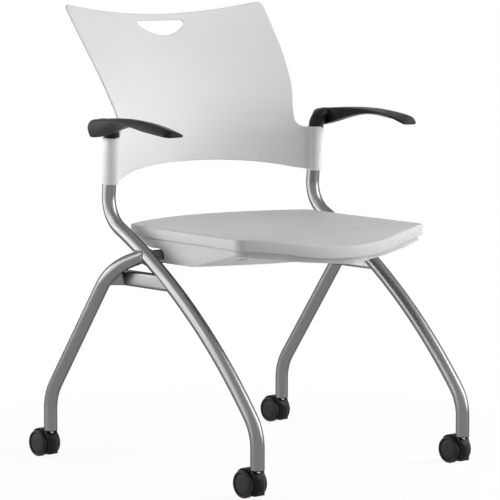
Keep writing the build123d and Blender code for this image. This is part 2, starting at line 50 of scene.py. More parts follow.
TUBE_R = 12.7
TUBE_END_Z = 51.5
FRONT_X = 252.0
FRONT_FOOT = (-553.7, TUBE_END_Z)
FRONT_STUB_TOP = (-553.7, 88.3)
REAR_X = 290.0
REAR_ROUTE = [(REAR_X, 0, TUBE_END_Z), (REAR_X, 0, 118.7), (REAR_X, -187.0, 374.5),
              (FRONT_X, -243.0, 401.5)]
REAR_BEND_RADII = (87.0, 110.0)
REAR_TUBE_R = TUBE_R - 0.02 # a hair thinner than the tube that its end is coped on to
UPRIGHT_HEADING = 95.2
UPRIGHT_ANGLE = math.radians(UPRIGHT_HEADING)
# heading before and after each bend of the front tube, in degrees from +Y, and its radius
FRONT_BENDS = ((90.0, 51.8, 87.0), (51.8, 27.0, 1105.0), (27.0, UPRIGHT_HEADING, 62.7))
UPRIGHT_TOP_Z = 609.0
PIVOT_Y = -243.5
PIVOT_Z = 396.5


def finish(name, colour, spread, rough, metallic=0.0, grain=700.0, depth=0.00005,
           gloss=0.5, blotch=9.0, edge_tint=1.0):
    """Procedural finish: faint colour drift, uneven roughness and a fine grain in the surface."""
    material = bpy.data.materials.new(name)
    material.use_nodes = True
    tree = material.node_tree
    shader = tree.nodes["Principled BSDF"]
    shader.inputs["Metallic"].default_value = metallic
    shader.inputs["Specular IOR Level"].default_value = gloss
    shader.inputs["Specular Tint"].default_value = (edge_tint, edge_tint, edge_tint, 1)
    place = tree.nodes.new("ShaderNodeTexCoord").outputs["Object"]

    def noise(scale, detail):
        node = tree.nodes.new("ShaderNodeTexNoise")
        node.inputs["Scale"].default_value = scale
        node.inputs["Detail"].default_value = detail
        tree.links.new(place, node.inputs["Vector"])
        return node.outputs["Fac"]

    drift = tree.nodes.new("ShaderNodeValToRGB")
    drift.color_ramp.elements[0].position = 0.3
    drift.color_ramp.elements[1].position = 0.7
    drift.color_ramp.elements[0].color = (*[c * (1 - spread) for c in colour], 1)
    drift.color_ramp.elements[1].color = (*[min(1, c * (1 + spread)) for c in colour], 1)
    tree.links.new(noise(blotch, 4), drift.inputs["Fac"])
    tree.links.new(drift.outputs["Color"], shader.inputs["Base Color"])

    patches = tree.nodes.new("ShaderNodeMapRange")
    patches.inputs["From Min"].default_value = 0.3
    patches.inputs["From Max"].default_value = 0.7
    patches.inputs["To Min"].default_value = rough[0]
    patches.inputs["To Max"].default_value = rough[1]
    tree.links.new(noise(blotch * 5, 5), patches.inputs["Value"])
    tree.links.new(patches.outputs["Result"], shader.inputs["Roughness"])

    bump = tree.nodes.new("ShaderNodeBump")
    bump.inputs["Strength"].default_value = 1.0
    bump.inputs["Distance"].default_value = depth
    tree.links.new(noise(grain, 2), bump.inputs["Height"])
    tree.links.new(bump.outputs["Normal"], shader.inputs["Normal"])
    return material


silver_paint = finish("silver_paint", (0.19, 0.19, 0.187), 0.03, (0.30, 0.34), metallic=1.0,
                      grain=700.0, depth=0.000001, edge_tint=0.3)


def bend(start, angle, new_angle, radius):
    """Points after start on an arc in the side plane, from one heading to the next (from +Y)."""
    turn = 1 if new_angle > angle else -1
    steps = max(6, int(abs(new_angle - angle) * radius / 170))
    headings = np.radians(np.linspace(angle, new_angle, steps + 1))
    centre_y = start[0] - turn * radius * math.sin(headings[0])
    centre_z = start[1] + turn * radius * math.cos(headings[0])
    return [(centre_y + turn * radius * math.sin(a), centre_z - turn * radius * math.cos(a))
            for a in headings[1:]]


def rounded_route(corners, radii, steps=14):
    """The polyline with an arc of each radius at its inner corners."""
    corners = [Vector(c) for c in corners]
    route = [corners[0]]
    for before, corner, after, radius in zip(corners, corners[1:], corners[2:], radii):
        back = (before - corner).normalized()
        ahead = (after - corner).normalized()
        half = back.angle(ahead) / 2
        middle = corner + (back + ahead).normalized() * radius / math.sin(half)
        first = corner + back * radius / math.tan(half) - middle
        last = corner + ahead * radius / math.tan(half) - middle
        sweep = first.angle(last)
        for k in range(steps + 1):
            t = k / steps
            route.append(middle + (first * math.sin((1 - t) * sweep) + last * math.sin(t * sweep))
                         / math.sin(sweep))
    return route + [corners[-1]]


def front_route():
    """Side view (Y, Z) of the front tube: stub, bend, bowed leg, bend, upright."""
    route = [FRONT_FOOT, FRONT_STUB_TOP]
    for angle, new_angle, radius in FRONT_BENDS:
        route += bend(route[-1], angle, new_angle, radius)
    rise = UPRIGHT_TOP_Z - route[-1][1]
    route.append((route[-1][0] + rise / math.tan(UPRIGHT_ANGLE), UPRIGHT_TOP_Z))
    return route


FRONT_ROUTE = [Vector((FRONT_X, y, z)) for y, z in front_route()]
REAR_LEG_ROUTE = rounded_route(REAR_ROUTE, REAR_BEND_RADII)
UPRIGHT_TOP = FRONT_ROUTE[-1]
UPRIGHT_DIR = Vector((0, math.cos(UPRIGHT_ANGLE), math.sin(UPRIGHT_ANGLE)))


def to_chair(points):
    """From mm at the rear caster axes to metres at the chair's own origin."""
    return [(x * MM, (y + MIDDLE_Y) * MM, z * MM) for x, y, z in points]


def mirrored(points):
    return [(-x, y, z) for x, y, z in points]


def piece_from(name, verts, faces, edges=()):
    """New object at the origin with this mesh."""
    mesh = bpy.data.meshes.new(name)
    mesh.from_pydata([tuple(v) for v in verts], list(edges), list(faces))
    mesh.update()
    piece = bpy.data.objects.new(name, mesh)
    bpy.context.scene.collection.objects.link(piece)
    return piece


def settle(piece, crease=35.0):
    """Turns what the modifiers make into the piece's own plain mesh, smooth but for its creases."""
    graph = bpy.context.evaluated_depsgraph_get()
    made = bpy.data.meshes.new_from_object(piece.evaluated_get(graph))
    piece.modifiers.clear()
    piece.data = made
    made.name = piece.name
    for face in made.polygons:
        face.use_smooth = True
    made.set_sharp_from_angle(angle=math.radians(crease))
    return piece


def outward(piece):
    """Recalculates a closed mesh's faces to point out of it."""
    bm = bmesh.new()
    bm.from_mesh(piece.data)
    bmesh.ops.remove_doubles(bm, verts=bm.verts, dist=1e-6)
    bmesh.ops.recalc_face_normals(bm, faces=bm.faces)
    bm.to_mesh(piece.data)
    bm.free()
    return piece


def tree_with(name, sockets):
    """Geometry tree with a Geometry input, these inputs after it and a Geometry output."""
    tree = bpy.data.node_groups.new(name, "GeometryNodeTree")
    tree.interface.new_socket("Geometry", in_out="INPUT", socket_type="NodeSocketGeometry")
    for label, kind in sockets:
        tree.interface.new_socket(label, in_out="INPUT", socket_type=kind)
    tree.interface.new_socket("Geometry", in_out="OUTPUT", socket_type="NodeSocketGeometry")
    return tree, tree.nodes.new("NodeGroupInput"), tree.nodes.new("NodeGroupOutput")


def chain(tree, *nodes):
    """Joins each node's first output to the first input of the next one."""
    for before, after in zip(nodes, nodes[1:]):
        tree.links.new(before.outputs[0], after.inputs[0])


def grown(piece, tree, values, material):
    """Runs a geometry tree on a piece with these inputs and keeps the result as its mesh."""
    modifier = piece.modifiers.new("grow", "NODES")
    modifier.node_group = tree
    names = {s.name: s.identifier for s in tree.interface.items_tree if s.in_out == "INPUT"}
    for label, value in {**values, "Material": material}.items():
        modifier[names[label]] = value
    return settle(piece)


def tube_tree():
    """A line of edges becomes a round tube with closed ends."""
    tree, given, result = tree_with("drawn_tube", [
        ("Radius", "NodeSocketFloat"), ("Sides", "NodeSocketInt"),
        ("Material", "NodeSocketMaterial")])
    line = tree.nodes.new("GeometryNodeMeshToCurve")
    ring = tree.nodes.new("GeometryNodeCurvePrimitiveCircle")
    sweep = tree.nodes.new("GeometryNodeCurveToMesh")
    real = tree.nodes.new("GeometryNodeRealizeInstances")
    paint = tree.nodes.new("GeometryNodeSetMaterial")
    sweep.inputs["Fill Caps"].default_value = True
    tree.links.new(given.outputs["Radius"], ring.inputs["Radius"])
    tree.links.new(given.outputs["Sides"], ring.inputs["Resolution"])
    tree.links.new(ring.outputs["Curve"], sweep.inputs["Profile Curve"])
    tree.links.new(given.outputs["Material"], paint.inputs["Material"])
    chain(tree, given, line, sweep, real, paint, result)
    return tree


DRAWN_TUBE = tube_tree()


def drawn_tube(name, route, radius, material, sides=56):
    """Round tube along a route in mm."""
    points = to_chair(route)
    line = piece_from(name, points, (), [(i, i + 1) for i in range(len(points) - 1)])
    grown(line, DRAWN_TUBE, {"Radius": radius * MM, "Sides": sides}, material)
    return outward(line)


def dress(piece, body, slot, *nodes):
    """Says which body carries the piece and hides the CAD nodes that it stands for. The slot
    argument is not used.
    """
    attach(piece, body)
    if nodes:
        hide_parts(*nodes)


for hand, flip in (("left", list), ("right", mirrored)):
    front = drawn_tube(f"front_tube_{hand}", flip(FRONT_ROUTE), TUBE_R, silver_paint)
    dress(front, "frame", "frame_silver", f"frame_tube_{hand}")
    # the coped end stops on the far wall of the front tube
    rear = drawn_tube(f"rear_tube_{hand}", flip(REAR_LEG_ROUTE), REAR_TUBE_R, silver_paint)
    dress(rear, "frame", "frame_silver", f"rear_leg_{hand}")
cross = drawn_tube("cross_tube", [(-FRONT_X, PIVOT_Y, PIVOT_Z), (FRONT_X, PIVOT_Y, PIVOT_Z)],
                   TUBE_R, silver_paint)
dress(cross, "frame", "frame_silver", "pivot_cross_tube")


# ---------------------------------------------------------------- weld beads
# The cross tube and the rear legs are welded to the front tubes all round their coped ends, and
# the stop tabs along both sides of their saddle. Each bead is a low ripple under the same paint.
BEAD_R = 1.9
BEAD_RIPPLE = 0.14          # share of its radius
BEAD_PITCH = 0.0003         # metres along the bead for each radian of the ripple
BEAD_STEP = 0.0006
CROSS_RAY_X = 200.0         # rays start here, outward along the cross tube
REAR_RAY_BACK = 45.0        # and this far back from the rear tube's end
STOP_X = 110.0
TAB_HALF = 10.0
SADDLE_HALF = 7.0


def bead_tree():
    """A line of edges becomes a bead whose thickness ripples along it."""
    tree, given, result = tree_with("weld_bead", [
        ("Radius", "NodeSocketFloat"), ("Ripple", "NodeSocketFloat"), ("Pitch", "NodeSocketFloat"),
        ("Material", "NodeSocketMaterial")])
    line = tree.nodes.new("GeometryNodeMeshToCurve")
    even = tree.nodes.new("GeometryNodeResampleCurve")
    even.mode = "LENGTH"
    even.inputs["Length"].default_value = BEAD_STEP
    swell = tree.nodes.new("GeometryNodeSetCurveRadius")
    along = tree.nodes.new("GeometryNodeSplineParameter")
    turns = tree.nodes.new("ShaderNodeMath")
    turns.operation = "DIVIDE"
    wave = tree.nodes.new("ShaderNodeMath")
    wave.operation = "SINE"
    height = tree.nodes.new("ShaderNodeMath")
    height.operation = "MULTIPLY_ADD"
    height.inputs[2].default_value = 1.0
    ring = tree.nodes.new("GeometryNodeCurvePrimitiveCircle")
    ring.inputs["Resolution"].default_value = 10
    sweep = tree.nodes.new("GeometryNodeCurveToMesh")
    sweep.inputs["Fill Caps"].default_value = True
    real = tree.nodes.new("GeometryNodeRealizeInstances")
    paint = tree.nodes.new("GeometryNodeSetMaterial")
    tree.links.new(along.outputs["Length"], turns.inputs[0])
    tree.links.new(given.outputs["Pitch"], turns.inputs[1])
    tree.links.new(turns.outputs[0], wave.inputs[0])
    tree.links.new(wave.outputs[0], height.inputs[0])
    tree.links.new(given.outputs["Ripple"], height.inputs[1])
    tree.links.new(height.outputs[0], swell.inputs["Radius"])
    tree.links.new(given.outputs["Radius"], ring.inputs["Radius"])
    tree.links.new(ring.outputs["Curve"], sweep.inputs["Profile Curve"])
    tree.links.new(given.outputs["Material"], paint.inputs["Material"])
    chain(tree, given, line, even, swell, sweep, real, paint, result)
    if "Scale" in sweep.inputs:
        radius_now = tree.nodes.new("GeometryNodeInputRadius")
        tree.links.new(radius_now.outputs[0], sweep.inputs["Scale"])
    return tree


WELD_BEAD = bead_tree()


def gap_to_route(point, route):
    """Distance from a point to the nearest place on a route."""
    best = 1e9
    for a, b in zip(route, route[1:]):
        span = b - a
        t = max(0.0, min(1.0, (point - a).dot(span) / span.length_squared))
        best = min(best, (a + span * t - point).length)
    return best


def reach(start, heading, route, limit=90.0):
    """Where a ray from start comes within a tube's radius of its route, or passes it nearest."""
    travel = 0.0
    nearest = (1e9, 0.0)
    while travel < limit:
        gap = gap_to_route(start + heading * travel, route) - TUBE_R
        if gap > nearest[0] + 0.5:
            break
        nearest = min(nearest, (gap, travel))
        if gap < 0.05:
            break
        travel += max(gap * 0.7, 0.05)
    return start + heading * nearest[1]


def coped_ring(centre, heading, route, count=44):
    """Closed line round a tube of this centre and heading, where it lands on another tube."""
    across = heading.orthogonal().normalized()
    other = heading.cross(across).normalized()
    ring = []
    for k in range(count):
        a = 2 * math.pi * k / count
        start = centre + (across * math.cos(a) + other * math.sin(a)) * TUBE_R
        ring.append(reach(start, heading, route))
    return ring


def beads(name, lines, radius):
    """One piece of weld beads along several lines, each (points, closed)."""
    verts = []
    edges = []
    for points, closed in lines:
        first = len(verts)
        verts += to_chair(points)
        edges += [(first + i, first + i + 1) for i in range(len(points) - 1)]
        if closed:
            edges.append((len(verts) - 1, first))
    line = piece_from(name, verts, (), edges)
    values = {"Radius": radius * MM, "Ripple": BEAD_RIPPLE, "Pitch": BEAD_PITCH}
    return outward(grown(line, WELD_BEAD, values, silver_paint))


def saddle_line(x):
    """Foot of a stop tab's saddle at x, where it lies under the cross tube."""
    return [Vector((x, PIVOT_Y + y, PIVOT_Z - math.sqrt(TUBE_R**2 - y * y)))
            for y in np.linspace(-SADDLE_HALF, SADDLE_HALF, 9)]


cross_ring = coped_ring(Vector((CROSS_RAY_X, PIVOT_Y, PIVOT_Z)), Vector((1, 0, 0)), FRONT_ROUTE)
rear_heading = (REAR_LEG_ROUTE[-1] - REAR_LEG_ROUTE[-2]).normalized()
rear_ring = coped_ring(REAR_LEG_ROUTE[-1] - rear_heading * REAR_RAY_BACK, rear_heading,
                       FRONT_ROUTE)
weld_lines = [(cross_ring, True), (rear_ring, True), (saddle_line(STOP_X - TAB_HALF), False),
              (saddle_line(STOP_X + TAB_HALF), False)]
for hand, flip in (("left", list), ("right", mirrored)):
    lines = [(flip(points), closed) for points, closed in weld_lines]
    dress(beads(f"weld_beads_{hand}", lines, BEAD_R), "frame", "frame_silver")


# ---------------------------------------------------------------- braces, tabs and fittings
# Small steel parts of the frame and the seat's pivot: pressed, cut or moulded with broken edges.
# Each is the CAD solid with its sharp edges rounded over.
def softened(node, name, edge, material, angle=32.0):
    """Copy of a CAD node's mesh, merged, its flat faces whole and its sharp edges rounded."""
    mesh = cad_node[node].data.copy()
    bm = bmesh.new()
    bm.from_mesh(mesh)
    bmesh.ops.remove_doubles(bm, verts=bm.verts, dist=2e-5)
    bmesh.ops.dissolve_degenerate(bm, edges=bm.edges, dist=1e-5)
    bmesh.ops.dissolve_limit(bm, angle_limit=math.radians(0.4), verts=bm.verts, edges=bm.edges)
    bm.to_mesh(mesh)
    bm.free()
    mesh.materials.clear()
    mesh.materials.append(material)
    piece = bpy.data.objects.new(name, mesh)
    bpy.context.scene.collection.objects.link(piece)
    bevel = piece.modifiers.new("edges", "BEVEL")
    bevel.width = edge * MM
    bevel.segments = 2
    bevel.limit_method = "ANGLE"
    bevel.angle_limit = math.radians(angle)
    bevel.use_clamp_overlap = True
    return settle(piece)


zinc = finish("zinc_plate", (0.46, 0.46, 0.45), 0.06, (0.28, 0.42), metallic=1.0, grain=900.0)
nylon = finish("natural_nylon", (0.72, 0.70, 0.63), 0.03, (0.38, 0.48), grain=800.0)
rubber = finish("stop_rubber", (0.030, 0.030, 0.030), 0.2, (0.65, 0.8), grain=600.0, depth=0.0001)

for hand in ("left", "right"):
    for node, edge in ((f"side_brace_{hand}", 1.2), (f"stop_tab_{hand}", 0.5)):
        dress(softened(node, f"{node}_painted", edge, silver_paint), "frame", "frame_silver", node)
    node = f"pivot_clamp_{hand}"
    dress(softened(node, f"{node}_plated", 0.5, zinc), "seat", "plain_steel", node)
    node = f"pivot_bushing_{hand}"
    dress(softened(node, f"{node}_moulded", 0.2, nylon), "seat", "bushing_plastic", node)
    node = f"stop_bumper_{hand}"
    dress(softened(node, f"{node}_moulded", 1.2, rubber), "seat", "bumper_rubber", node)


# ---------------------------------------------------------------- back shell
# One moulding in light grey plastic: a thin curved shell with a hand slot near its top edge and two
# sleeves that slide down over the uprights. All its edges are rounded.
shell_grey = finish("shell_grey", (0.71, 0.72, 0.715), 0.012, (0.56, 0.64), grain=420.0,
                    depth=0.00003, gloss=0.25)
SHELL_T = 4.5
SLEEVE_R = 16.5
SLEEVE_LOW_Z = 524.0
SLEEVE_TOP_Z = 609.6
SHELL_RIM = 2.0
SHELL_SPACING = 6.0
SHELL_FOOT_Z = 525.5        # outer lower corner of the shell, on the sleeve
SHELL_SHOULDER_Z = 610.0
SAG_LOW = 84.0              # how far the front face stands forward of the middle at SAG_X,
SAG_LOSS = 44.0             # and how much of it is lost over SAG_HEIGHT above SAG_FROM_Z
SAG_X = 240.0
SAG_FROM_Z = 606.0
SAG_HEIGHT = 240.0
SLEEVE_NEAR_X = 205.0       # the shell is faired into the sleeve outward of this
SLEEVE_FADE = 12.0
SLEEVE_BLEND = 9.0
# heights and depths (Y) of the front face on the middle line
HEIGHTS = (470.0, 500.0, 560.0, 606.0, 643.0, 679.0, 715.0, 751.0, 788.0, 825.0, 870.0)
DEPTHS = (-55.5, -57.0, -60.0, -61.0, -55.0, -44.0, -28.0, -9.0, 13.0, 34.0, 60.0)
SLOT_HALF = 57.0
SLOT_TOP_Z = 817.5
SLOT_LOW_Z = 789.0
SLOT_FLAT_X = SLOT_HALF - 6
SLOT_CORNER = (SLOT_HALF - 1.2, SLOT_TOP_Z - 2.6)
SLOT_SIDE = (SLOT_HALF - 1.5, SLOT_TOP_Z - 8)


def curve_through(xs, ys):
    """Smooth function through the points: a natural cubic spline."""
    xs = np.asarray(xs, float)
    ys = np.asarray(ys, float)
    gaps = np.diff(xs)
    slopes = np.diff(ys) / gaps
    count = len(xs)
    matrix = np.eye(count)
    right = np.zeros(count)
    for i in range(1, count - 1):
        matrix[i, i - 1:i + 2] = gaps[i - 1], 2 * (gaps[i - 1] + gaps[i]), gaps[i]
        right[i] = 6 * (slopes[i] - slopes[i - 1])
    bends = np.linalg.solve(matrix, right)

    def value(x):
        i = np.clip(np.searchsorted(xs, x) - 1, 0, count - 2)
        a = (xs[i + 1] - x) / gaps[i]
        b = (x - xs[i]) / gaps[i]
        lift = ((a**3 - a) * bends[i] + (b**3 - b) * bends[i + 1]) * gaps[i] ** 2 / 6
        return a * ys[i] + b * ys[i + 1] + lift

    return value


def line_through(points, step):
    """Points about step apart on a smooth line through the given plane points."""
    points = np.asarray(points, float)
    along = np.concatenate([[0], np.cumsum(np.hypot(*np.diff(points, axis=0).T))])
    count = max(2, int(round(along[-1] / step)) + 1)
    at = np.linspace(0, along[-1], count)
    first = curve_through(along, points[:, 0])
    second = curve_through(along, points[:, 1])
    return [(first(t), second(t)) for t in at]


def arc_through(start, middle, end, count=7):
    """Points on the circular arc through three plane points."""
    (ax, ay), (bx, by), (cx, cy) = start, middle, end
    d = 2 * (ax * (by - cy) + bx * (cy - ay) + cx * (ay - by))
    aa, bb, cc = ax**2 + ay**2, bx**2 + by**2, cx**2 + cy**2
    ux = (aa * (by - cy) + bb * (cy - ay) + cc * (ay - by)) / d
    uy = (aa * (cx - bx) + bb * (ax - cx) + cc * (bx - ax)) / d
    radius = math.hypot(ax - ux, ay - uy)
    angles = np.unwrap([math.atan2(y - uy, x - ux) for x, y in (start, middle, end)])
    return [(ux + radius * math.cos(a), uy + radius * math.sin(a))
            for a in np.linspace(angles[0], angles[2], count)]


def loop_of(parts):
    """Joins runs of plane points into one closed loop, counter-clockwise, with no point twice."""
    loop = []
    for run in parts:
        for point in run:
            if not loop or math.dist(loop[-1], point) > 0.3:
                loop.append(tuple(point))
    if math.dist(loop[0], loop[-1]) < 0.3:
        loop.pop()
    area = sum(a[0] * b[1] - a[1] * b[0] for a, b in zip(loop, loop[1:] + loop[:1]))
    return loop if area > 0 else loop[::-1]


def inset(loop, amount):
    """The loop moved in by amount, each point along its own normal."""
    moved = []
    count = len(loop)
    for i in range(count):
        before = Vector(loop[i - 1])
        here = Vector(loop[i])
        after = Vector(loop[(i + 1) % count])
        run_in = (here - before).normalized()
        run_out = (after - here).normalized()
        middle = (run_in + run_out).normalized()
        normal = Vector((-middle.y, middle.x))
        stretch = 1 / max(0.6, middle.dot(run_in))
        moved.append(tuple(here + normal * amount * stretch))
    return moved


def filled(outline, holes, spacing):
    """Triangles over the outline less its holes, with inner points on a grid."""
    loops = [outline, *holes]
    points = [Vector(p) for loop in loops for p in loop]
    faces = []
    first = 0
    for loop in loops:
        faces.append(list(range(first, first + len(loop))))
        first += len(loop)
    borders = np.array([p for loop in loops for p in loop])
    low, high = borders.min(0), borders.max(0)

    def inside(x, y, loop):
        odd = False
        for (x1, y1), (x2, y2) in zip(loop, loop[1:] + loop[:1]):
            if (y1 > y) != (y2 > y) and x < (x2 - x1) * (y - y1) / (y2 - y1) + x1:
                odd = not odd
        return odd

    rows = np.arange(low[1] + spacing / 2, high[1], spacing)
    for n, y in enumerate(rows):
        for x in np.arange(low[0] + spacing * (0.5 + 0.25 * (n % 2)), high[0], spacing):
            if np.min(np.hypot(borders[:, 0] - x, borders[:, 1] - y)) < spacing * 0.55:
                continue
            if inside(x, y, outline) and not any(inside(x, y, h) for h in holes):
                points.append(Vector((x, y)))
    out, _, tris, origin, _, _ = delaunay_2d_cdt(points, [], faces, 1, 1e-5)
    where = {old: new for new, olds in enumerate(origin) for old in olds}
    kept = []
    for tri in tris:
        x, y = sum((out[i] for i in tri), Vector((0, 0))) / len(tri)
        if not any(inside(x, y, h) for h in holes):
            kept.append(tuple(tri))
    borders_out = []
    first = 0
    for loop in loops:
        borders_out.append([where[first + i] for i in range(len(loop))])
        first += len(loop)
    return [tuple(p) for p in out], kept, borders_out


def moulded_plate(outline, holes, place, rim, thick_rim, spacing):
    """Closed plate with rounded rims: place(x, y, depth, from_far_side) gives a point of it."""
    flat = rim + 1.5        # a narrow even ring keeps the shading level beside the rim
    near = [inset(outline, flat), *[inset(h, -flat) for h in holes]]
    points, tris, borders = filled(near[0], near[1:], spacing)
    count = len(points)
    verts = [place(x, y, 0.0, False) for x, y in points]
    verts += [place(x, y, 0.0, True) for x, y in points]
    faces = list(tris) + [tuple(count + i for i in reversed(t)) for t in tris]
    for n, (loop, border) in enumerate(zip([outline, *holes], borders)):
        sign = 1 if n == 0 else -1
        rings = [list(border)]
        quarter = (0, 22, 45, 67, 90)
        for radius, far, angles in ((rim, False, quarter), (thick_rim, True, quarter[::-1])):
            for a in np.radians(angles):
                # both borders have the near rim's inset
                moved = inset(loop, sign * rim * (1 - math.sin(a)))
                rings.append(list(range(len(verts), len(verts) + len(loop))))
                verts += [place(x, y, radius * (1 - math.cos(a)), far) for x, y in moved]
        rings.append([count + i for i in border])
        for one, two in zip(rings, rings[1:]):
            for i in range(len(loop)):
                j = (i + 1) % len(loop)
                faces.append((one[i], two[i], two[j], one[j]))
    return verts, faces


def lathe(profile, origin, axis, segments=64, closed=True):
    """Turned solid of (distance along the axis, radius): the profile closed, or its ends filled."""
    across = axis.orthogonal().normalized()
    other = axis.cross(across).normalized()
    verts = []
    for reach_along, radius in profile:
        for k in range(segments):
            a = 2 * math.pi * k / segments
            verts.append(origin + axis * reach_along
                         + (across * math.cos(a) + other * math.sin(a)) * radius)
    faces = []
    rows = len(profile)
    for i in range(rows if closed else rows - 1):
        for k in range(segments):
            m = (k + 1) % segments
            j = (i + 1) % rows
            faces.append((i * segments + k, i * segments + m, j * segments + m, j * segments + k))
    if not closed:
        faces.append(tuple(range(segments)))
        faces.append(tuple(range((rows - 1) * segments, rows * segments)))
    return verts, faces


def upright_y(z):
    """Y of the upright's axis at height z."""
    return UPRIGHT_TOP.y + (z - UPRIGHT_TOP_Z) / math.tan(UPRIGHT_ANGLE)


def blend_min(a, b, width):
    """The smaller of two, with a rounded join."""
    share = max(width - abs(a - b), 0.0) / width
    return min(a, b) - share * share * width / 4


middle_depth = curve_through(HEIGHTS, DEPTHS)


def shell_front(x, z):
    """Front face of the shell, faired into the front of the sleeve."""
    sag = SAG_LOW - SAG_LOSS * max(0.0, (z - SAG_FROM_Z) / SAG_HEIGHT)
    return middle_depth(z) - sag * (x / SAG_X) ** 2


def sleeve_half(x):
    """Half depth of the sleeve at x, or far behind where the sleeve doesn't reach."""
    off = abs(abs(x) - FRONT_X)
    radius = SLEEVE_R - 0.3
    return math.sqrt(radius**2 - off**2) if off < radius else -2.2 * (off - radius)


def shell_point(x, z, depth, far):
    """Point of the shell at depth under its front or back face."""
    step = 1.0
    y = shell_front(x, z)
    slope_x = (shell_front(x + step, z) - shell_front(x - step, z)) / (2 * step)
    slope_z = (shell_front(x, z + step) - shell_front(x, z - step)) / (2 * step)
    normal = Vector((-slope_x, 1, -slope_z)).normalized()
    under = SHELL_T - depth if far else depth
    point = Vector((x, y, z)) + normal * under
    if z < SLEEVE_TOP_Z + 4 and abs(x) > SLEEVE_NEAR_X:
        fade = min(1.0, (abs(x) - SLEEVE_NEAR_X) / SLEEVE_FADE)
        axis_y = upright_y(z)
        if under < SHELL_T / 2:
            target = blend_min(point.y, axis_y - sleeve_half(x) + depth, SLEEVE_BLEND)
        else:
            target = -blend_min(-point.y, -(axis_y + sleeve_half(x)) + depth, SLEEVE_BLEND)
        point.y += (target - point.y) * fade
    return point


ARCH = [(FRONT_X, SHELL_FOOT_Z), (223, 528.5), (181, 537), (130, 543.8), (65, 548.3), (0, 549.5)]
SIDE = [(214.8, 626), (216.4, 643), (225.2, 679), (231.6, 715), (236.6, 751), (240, 788),
        (242.4, 825), (243, 838)]
TOP = [(231, 850.8), (181, 843), (120, 835.4), (60, 831), (0, 829.5)]


def plane_mirror(points):
    """The other half of a run of plane points, in the order that carries on from it."""
    return [(-x, z) for x, z in reversed(points)]


half_outline = [
    [(FRONT_X, z) for z in np.linspace(SHELL_FOOT_Z, SHELL_SHOULDER_Z, 20)],
    [(x, SHELL_SHOULDER_Z) for x in np.linspace(FRONT_X, 231, 6)],
    arc_through((231, SHELL_SHOULDER_Z), (219.4, 614.7), SIDE[0]),
    line_through(SIDE, 5.0),
    arc_through(SIDE[-1], (239.6, 848.6), TOP[0], 9),
]
half_run = [p for run in half_outline for p in run]
top_run = line_through(TOP + plane_mirror(TOP[:-1]), 5.0)
arch_run = line_through(ARCH + plane_mirror(ARCH[:-1]), 5.0)
shell_outline = loop_of([half_run, top_run, plane_mirror(half_run), arch_run[::-1]])
slot_side = arc_through((SLOT_FLAT_X, SLOT_TOP_Z), SLOT_CORNER, SLOT_SIDE, 6)
slot_loop = loop_of([
    [(x, SLOT_TOP_Z) for x in np.linspace(-SLOT_FLAT_X, SLOT_FLAT_X, 24)],
    slot_side,
    arc_through(SLOT_SIDE, (0, SLOT_LOW_Z), (-SLOT_SIDE[0], SLOT_SIDE[1]), 30),
    plane_mirror(slot_side),
])
shell_verts, shell_faces = moulded_plate(shell_outline, [slot_loop], shell_point, SHELL_RIM,
                                         SHELL_RIM, SHELL_SPACING)
sleeve_len = (SLEEVE_TOP_Z - SLEEVE_LOW_Z) / UPRIGHT_DIR.z
sleeve_foot = Vector((FRONT_X, upright_y(SLEEVE_LOW_Z), SLEEVE_LOW_Z))
sleeve_profile = [(0, TUBE_R + 0.1), (0, SLEEVE_R - 1.3), (0.4, SLEEVE_R - 0.4), (1.3, SLEEVE_R),
                  (sleeve_len - 1.3, SLEEVE_R), (sleeve_len - 0.4, SLEEVE_R - 0.4),
                  (sleeve_len, SLEEVE_R - 1.3), (sleeve_len, TUBE_R + 0.1)]
sleeve_verts, sleeve_faces = lathe(sleeve_profile, sleeve_foot, UPRIGHT_DIR)
for flip in (list, mirrored):
    first = len(shell_verts)
    shell_verts += flip(sleeve_verts)
    shell_faces += [tuple(first + i for i in f) for f in sleeve_faces]
shell = piece_from("back_shell_moulding", to_chair(shell_verts), shell_faces)
shell.data.materials.append(shell_grey)
settle(outward(shell), 50.0)
dress(shell, "frame", "shell_plastic", "back_shell")


# ---------------------------------------------------------------- arms
# Black moulding on the top of each upright: a round post that turns outward into a tall blade,
# which twists and flattens forward into a thin crowned paddle. A peg holds it in the tube.
arm_black = finish("arm_black", (0.009, 0.009, 0.0095), 0.10, (0.34, 0.42), grain=900.0,
                   depth=0.00002, gloss=0.12)
POST_R = 14.4
POST_RISE = 22.0            # from the sleeve's top to the post's bend, then outward
POST_REACH = 25.0
POST_BEND_R = 20.0
PEG_R = TUBE_R - 2.0
PEG_ABOVE = 4.0
PEG_LENGTH = 32.0
# Y, then (X, Z) of the section's inner low, inner high, crown, outer high and outer low points
ARM_STATIONS = (
    (-104, (268.5, 608.8), (272.6, 640.0), (276.5, 642.0), (281.0, 638.6), (277.6, 608.8)),
    (-138, (268.0, 611.3), (273.0, 643.6), (279.0, 645.4), (284.6, 641.2), (279.6, 611.0)),
    (-172, (267.8, 619.4), (273.0, 646.2), (283.5, 648.0), (289.0, 642.4), (282.0, 617.8)),
    (-210, (268.2, 630.0), (273.0, 647.6), (288.5, 650.4), (295.0, 641.6), (286.0, 628.6)),
    (-250, (269.0, 637.6), (273.0, 647.6), (293.5, 651.2), (300.8, 638.0), (297.6, 635.8)),
    (-290, (269.2, 640.0), (272.6, 644.4), (297.5, 649.6), (304.4, 633.4), (302.8, 630.8)),
    (-330, (269.0, 635.2), (271.6, 638.6), (299.0, 645.0), (306.8, 629.4), (306.0, 626.4)),
    (-358, (269.0, 626.6), (270.4, 631.6), (299.5, 640.0), (308.4, 627.6), (308.0, 623.4)),
    (-372, (269.2, 622.4), (270.0, 627.6), (299.5, 635.8), (309.0, 627.0), (308.8, 621.8)),
)
BLADE_END_Y = -108.5
BLADE_TOP_R = 14.0          # rounding of the blade's rear end, above and below
BLADE_LOW_R = 8.0
TIP_Y = -373.0
